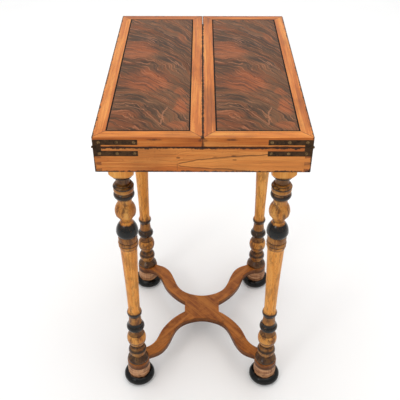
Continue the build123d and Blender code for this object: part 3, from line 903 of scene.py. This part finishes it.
def worn_paint(finish, depth, chips, wear, strength):
    """The paint of leg_paint, rubbed off where a ring faces up, chipped and mottled."""
    black, brown = leg_paint(finish, depth)
    facing_up = finish.between(finish.part(finish.normal, "z"), low=0.25, high=0.8)
    rubbed = finish.noise(finish.place, scale=70, detail=4, roughness=0.7)
    rubbed = finish.times(finish.between(rubbed, low=0.35, high=0.65), facing_up)
    rubbed = finish.times(rubbed, finish.between(depth, *RUBBED_END, wear, LOWER_WEAR_SHARE * wear))
    black = finish.times(black, finish.math("SUBTRACT", strength, rubbed, clamp=True))
    brown = finish.times(brown, finish.minus(1.0, finish.times(rubbed, BROWN_WEAR_SHARE)))
    black = finish.times(black, finish.between(chips, low=0.30, high=0.38, start=0.55, end=1.0))
    mottled = finish.noise(finish.place, scale=60, detail=4, roughness=0.65)
    return black, finish.times(brown, finish.between(mottled, low=0.3, high=0.7, start=0.55, end=1.0))


def leg_dirt(finish, colour, place, depth, seed):
    """Dark specks, and brown smears that are fainter on the taper."""
    specks = finish.cells(finish.stretch(place, scale=(230, 230, 120), shift=(0, seed, 0)))
    specks = finish.between(specks, low=0.17, high=0.08)
    colour = finish.mix(finish.times(specks, SPECK_DARK), colour, DIRT_AND_SHADE_COLOUR)
    smear_place = finish.stretch(place, scale=(110, 110, 34), shift=(seed, 0, 0))
    smears = finish.noise(smear_place, detail=4, roughness=0.7)
    turned = finish.between(depth, *TURNED_START)
    on_taper = finish.times(finish.between(depth, *TAPER_START), finish.between(depth, *TAPER_END))
    share = finish.times(turned, finish.times_plus(on_taper, -TAPER_SMEAR_LOSS, SMEAR_SHARE))
    share = finish.times(share, finish.between(smears, low=0.47, high=0.60))
    return finish.mix(share, colour, PAINT_BROWN)


def leg_wood(name, seed, wear, strength):
    finish = Finish(name)
    low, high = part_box(name)
    middle = ((low.x + high.x) / 2, (low.y + high.y) / 2, 0)
    place = finish.vector("SUBTRACT", finish.place, middle)
    grain = Grain(finish, "z", seed, place)
    streaks, fibres, pores = grain.streaks(), grain.fibres(), grain.pores()
    colour = finish.ramp(finish.weigh(grain.bands(), streaks, LEG_BANDS_SHARE), LEG_STEPS, LEG_TONES)
    colour = finish.shade(colour, fibres, low=0.5, high=0.8, most=0.2)
    colour = finish.darken(colour, finish.times(pores, LEG_PORE_DARK))

    wobble = finish.centred_noise(finish.place, scale=130, detail=3)
    depth = finish.over(finish.minus(top_z, finish.part(finish.place, "z")), MM)
    depth = finish.plus(depth, finish.times(wobble, PAINT_WOBBLE))
    chips = finish.noise(finish.place, scale=420, detail=3, roughness=0.7)
    black, brown = worn_paint(finish, depth, chips, wear, strength)
    colour = leg_dirt(finish, colour, place, depth, seed)
    colour = finish.mix(brown, colour, PAINT_BROWN)
    colour = finish.mix(black, colour, PAINT_BLACK)

    heights = [(streaks, LEG_STREAK_HEIGHT), (fibres, FIBRE_HEIGHT), (pores, PORE_HEIGHT)]
    finish.bump(heights + [(chips, CHIP_HEIGHT)])
    roughness = finish.between(streaks, low=0.3, high=0.7, start=0.38, end=0.46)
    roughness = finish.times_plus(black, -PAINT_SMOOTHER, roughness)
    specular = finish.times_plus(black, PAINT_MORE_SPECULAR, WOOD_SPECULAR)
    return finish.complete(colour, roughness, coat=LEG_COAT, specular=specular)


for seed, corner in seeds(31.3, 4.1, LEG_WEAR):
    name = corner + "_leg"
    paint(leg_wood(name, seed, *LEG_WEAR[corner]), name)


# Feet: a pale worn collar on a glossy black bun, whose top is at a share of the height.
# The black fades out between two heights above it, measured from places that the wobble
# has lifted.
COLLAR_TONES = (linear(112, 70, 44), linear(172, 122, 84), linear(206, 160, 120))
COLLAR_STEPS = (0.38, 0.5, 0.62)
COLLAR_RINGS_SHARE = 0.75
BUN_TONES = (PAINT_BLACK, linear(24, 22, 20))
BUN_HEIGHT_SHARE = 0.43
BUN_BORDER = (2.4 * MM, 0.8 * MM)
FOOT_WOBBLE = 2.0 * MM
COLLAR_SEAM_HEIGHT = 1.5 * MM
COLLAR_SEAM_DARK = 0.6
FOOT_PORE_DARK = 0.5
FOOT_RELIEF = 0.04 * MM
FOOT_PORE_HEIGHT = -0.06 * MM
FOOT_COAT = 0.04


def foot_wood(name, seed):
    finish = Finish(name)
    foot_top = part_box(name)[1].z
    grain = Grain(finish, "z", seed)
    streaks, pores = grain.streaks(), grain.pores()
    ring_place = finish.stretch(finish.place, scale=(14, 14, 190), shift=(seed, seed, seed))
    rings = finish.noise(ring_place, detail=4, roughness=0.6)
    tone = finish.weigh(rings, streaks, COLLAR_RINGS_SHARE)
    colour = finish.ramp(tone, COLLAR_STEPS, COLLAR_TONES)
    worn_place = finish.stretch(finish.place, scale=(60, 60, 60), shift=(seed, 0, 0))
    worn = finish.noise(worn_place, detail=4, roughness=0.7)
    colour = finish.tint(colour, PAINT_BROWN, worn, low=0.50, high=0.66, most=0.7)
    colour = finish.darken(colour, finish.times(pores, FOOT_PORE_DARK))

    wobble = finish.noise(finish.place, scale=90, detail=3)
    height = finish.times_plus(wobble, FOOT_WOBBLE, finish.part(finish.place, "z"))
    clear_z, full_z = (foot_top * BUN_HEIGHT_SHARE + border for border in BUN_BORDER)
    black = finish.between(height, clear_z, full_z)
    seam = finish.between(height, foot_top - COLLAR_SEAM_HEIGHT, foot_top)
    colour = finish.mix(finish.times(seam, COLLAR_SEAM_DARK), colour, DIRT_AND_SHADE_COLOUR)
    scuffs = finish.noise(finish.place, scale=180, detail=5, roughness=0.7)
    bun_colour = finish.ramp(scuffs, steps=(0.4, 0.72), colours=BUN_TONES)
    colour = finish.mix(black, colour, bun_colour)

    finish.bump([(streaks, FOOT_RELIEF), (scuffs, FOOT_RELIEF), (pores, FOOT_PORE_HEIGHT)])
    roughness = finish.between(scuffs, low=0.3, high=0.7, start=0.42, end=0.54)
    roughness = finish.times_plus(black, -PAINT_SMOOTHER, roughness)
    return finish.complete(colour, roughness, coat=FOOT_COAT, specular=WOOD_SPECULAR)


for seed, corner in seeds(51.9, 3.3, LEG_WEAR):
    paint(foot_wood(corner + "_foot", seed), corner + "_foot")


# Stretcher: a little darker, with grime, and with painted shade on the lower part of its upright sides.
# The grain of each piece slants the way the piece does, by so much to the back for each step to the
# right.
STRETCHER_TONES = (linear(122, 62, 16), linear(152, 84, 26), linear(178, 108, 42))
STRETCHER_STEPS = (0.38, 0.48, 0.58)
STRETCHER_GOLD = linear(184, 112, 42)
STRETCHER_BANDS_SHARE = 0.6
STRETCHER_PORE_DARK = 0.45
STRETCHER_SLANTS = {"upper_stretcher": -1.1, "lower_stretcher": 1.1}


def stretcher_wood(name, seed, slant):
    finish = Finish(name)
    x, y, z = finish.split(finish.place)
    along = finish.times_plus(y, slant, x)
    across = finish.times_plus(x, -slant, y)
    grain = Grain(finish, "x", seed, finish.join(along, across, z))
    streaks, fibres, pores = grain.streaks(), grain.fibres(), grain.pores()
    tone = finish.weigh(grain.bands(), streaks, STRETCHER_BANDS_SHARE)
    colour = finish.ramp(tone, STRETCHER_STEPS, STRETCHER_TONES)
    colour = finish.shade(colour, fibres, low=0.5, high=0.8, most=0.2)
    colour = finish.darken(colour, finish.times(pores, STRETCHER_PORE_DARK))

    grime_and_shade = finish.noise(finish.place, scale=55, detail=4, roughness=0.65)
    colour = finish.tint(colour, STRETCHER_GOLD, grime_and_shade, low=0.48, high=0.66, most=0.55)
    colour = finish.shade(colour, grime_and_shade, low=0.46, high=0.30, most=0.35)
    # Painted shade: upright sides are darker, more so towards the bottom, in patches
    side = finish.between(finish.part(finish.normal, "z"), low=0.97, high=0.6)
    shade_towards_bottom = finish.between(z, pad_high.z, pad_low.z, start=0.55, end=1.0)
    patchy_shade = finish.between(grime_and_shade, low=0.2, high=0.7, start=0.5, end=0.95)
    colour = finish.mix(finish.times(finish.times(side, shade_towards_bottom), patchy_shade), colour, DIRT_AND_SHADE_COLOUR)

    finish.bump([(streaks, STREAK_HEIGHT), (fibres, FIBRE_HEIGHT), (pores, PORE_HEIGHT)])
    roughness = finish.between(streaks, low=0.3, high=0.7, start=0.38, end=0.52)
    return finish.complete(colour, roughness, coat=WOOD_COAT, specular=WOOD_SPECULAR)


for seed, name in seeds(71.3, 6.6, STRETCHER_SLANTS):
    paint(stretcher_wood(name, seed, STRETCHER_SLANTS[name]), name)


# Metal: dark and light clouds with polished scratches
CLOUD_HEIGHT = 0.08 * MM
SCRATCH_HEIGHT = 0.03 * MM
METAL_SHARE = 0.75
METAL_ROUGHNESS_RANGE = 0.2

# The dark, the light and the polished tone of each metal, and its least roughness
METALS = {
    "bronze": (linear(40, 27, 15), linear(78, 54, 32), linear(128, 98, 62), 0.45),
    "worn_brass": (linear(70, 50, 28), linear(138, 108, 68), linear(190, 162, 116), 0.36),
    "steel": (linear(96, 92, 86), linear(150, 146, 140), linear(210, 208, 204), 0.3),
}


def metal(name, dark, light, polish, roughness):
    finish = Finish(name)
    clouds = finish.noise(finish.place, scale=150, detail=4, roughness=0.65)
    scratches = finish.noise(finish.stretch(finish.place, scale=(90, 1500, 1500)), detail=3)
    colour = finish.ramp(clouds, steps=(0.35, 0.62), colours=(dark, light))
    colour = finish.tint(colour, polish, scratches, low=0.62, high=0.75, most=0.5)
    finish.bump([(clouds, CLOUD_HEIGHT), (scratches, SCRATCH_HEIGHT)])
    most = roughness + METAL_ROUGHNESS_RANGE
    clouded = finish.between(clouds, low=0.3, high=0.7, start=roughness, end=most)
    return finish.complete(colour, clouded, metallic=METAL_SHARE)


bronze, worn_brass, steel = (metal(name, *looks) for name, looks in METALS.items())
for side in ("left", "right"):
    for end in ("front", "back"):
        for piece in ("leaf_plate", "box_plate"):
            paint(bronze, f"{side}_{end}_hinge_{piece}")
        paint(worn_brass, f"{side}_{end}_hinge_pin")
paint(worn_brass, "left_leaf_screws", "right_leaf_screws", "box_hinge_screws")
paint(steel, "frame_screws")


# Baize: green wool with a nap that runs front to back, paler where it is worn
BAIZE_TONES = (linear(22, 62, 34), linear(52, 104, 60))
BAIZE_WORN = linear(86, 116, 70)
BAIZE_SHEEN = 0.4
FUZZ_HEIGHT = 0.2 * MM
NAP_HEIGHT = 0.1 * MM

# Each sheet of baize and the board that it is glued to
BAIZE_BOARDS = {
    "left_leaf_baize": "left_leaf_core_board",
    "right_leaf_baize": "right_leaf_core_board",
    "playing_bed_baize": "playing_bed",
}


def baize():
    finish = Finish("green_baize")
    fuzz = finish.noise(finish.place, scale=1800, detail=3, roughness=0.7)
    nap = finish.noise(finish.stretch(finish.place, scale=(700, 260, 700)), detail=3)
    worn = finish.noise(finish.place, scale=11, detail=3)
    colour = finish.ramp(nap, steps=(0.3, 0.7), colours=BAIZE_TONES)
    colour = finish.tint(colour, BAIZE_WORN, worn, low=0.5, high=0.8, most=0.4)
    colour = finish.shade(colour, fuzz, low=0.5, high=0.8, most=0.25)
    finish.bump([(fuzz, FUZZ_HEIGHT), (nap, NAP_HEIGHT)])
    finish.put(finish.shader.inputs["Sheen Weight"], BAIZE_SHEEN)
    roughness = finish.between(fuzz, low=0.3, high=0.7, start=0.85, end=0.98)
    return finish.complete(colour, roughness)


paint(baize(), *BAIZE_BOARDS)


# Floor, in metres
FLOOR_SIZE = 12.0
FLOOR_TONES = (linear(251, 251, 251), linear(254, 254, 253))
FLOOR_ROUGHNESS = 0.9


def pale_floor():
    finish = Finish("pale_floor")
    clouds = finish.noise(finish.place, scale=3, detail=2)
    colour = finish.ramp(clouds, steps=(0.3, 0.7), colours=FLOOR_TONES)
    return finish.complete(colour, FLOOR_ROUGHNESS)


def make_floor():
    half = FLOOR_SIZE / 2
    corners = [(-half, -half, 0), (half, -half, 0), (half, half, 0), (-half, half, 0)]
    mesh = bpy.data.meshes.new("floor")
    mesh.from_pydata(corners, [], [(0, 1, 2, 3)])
    floor = bpy.data.objects.new("floor", mesh)
    bpy.context.scene.collection.objects.link(floor)
    mesh.materials.append(pale_floor())


make_floor()

# Light: name, place, the place it points at and size in metres, and power in watts
LIGHTS = [
    ("overhead_light", (0, 0, 4.0), (0, 0, 0), 4.0, 66),
    ("key_light", (-1.8, -2.2, 2.4), (0, 0, 0.5), 0.7, 12),
    ("back_light", (0, 3.0, 2.6), (0, 0, 0.7), 2.4, 8),
]
WORLD_COLOUR = (1, 1, 1, 1)
WORLD_STRENGTH = 0.74


def make_light(name, place, target, size, power):
    light = bpy.data.objects.new(name, bpy.data.lights.new(name, "AREA"))
    bpy.context.scene.collection.objects.link(light)
    light.data.shape = "SQUARE"
    light.data.size = size
    light.data.energy = power
    light.location = place
    light.rotation_euler = (Vector(target) - Vector(place)).to_track_quat("-Z", "Y").to_euler()


def make_world():
    world = bpy.data.worlds.new("studio")
    bpy.context.scene.world = world
    world.use_nodes = True
    background = world.node_tree.nodes["Background"]
    background.inputs["Color"].default_value = WORLD_COLOUR
    background.inputs["Strength"].default_value = WORLD_STRENGTH


for light in LIGHTS:
    make_light(*light)
make_world()
bpy.context.scene.view_settings.view_transform = "Standard"
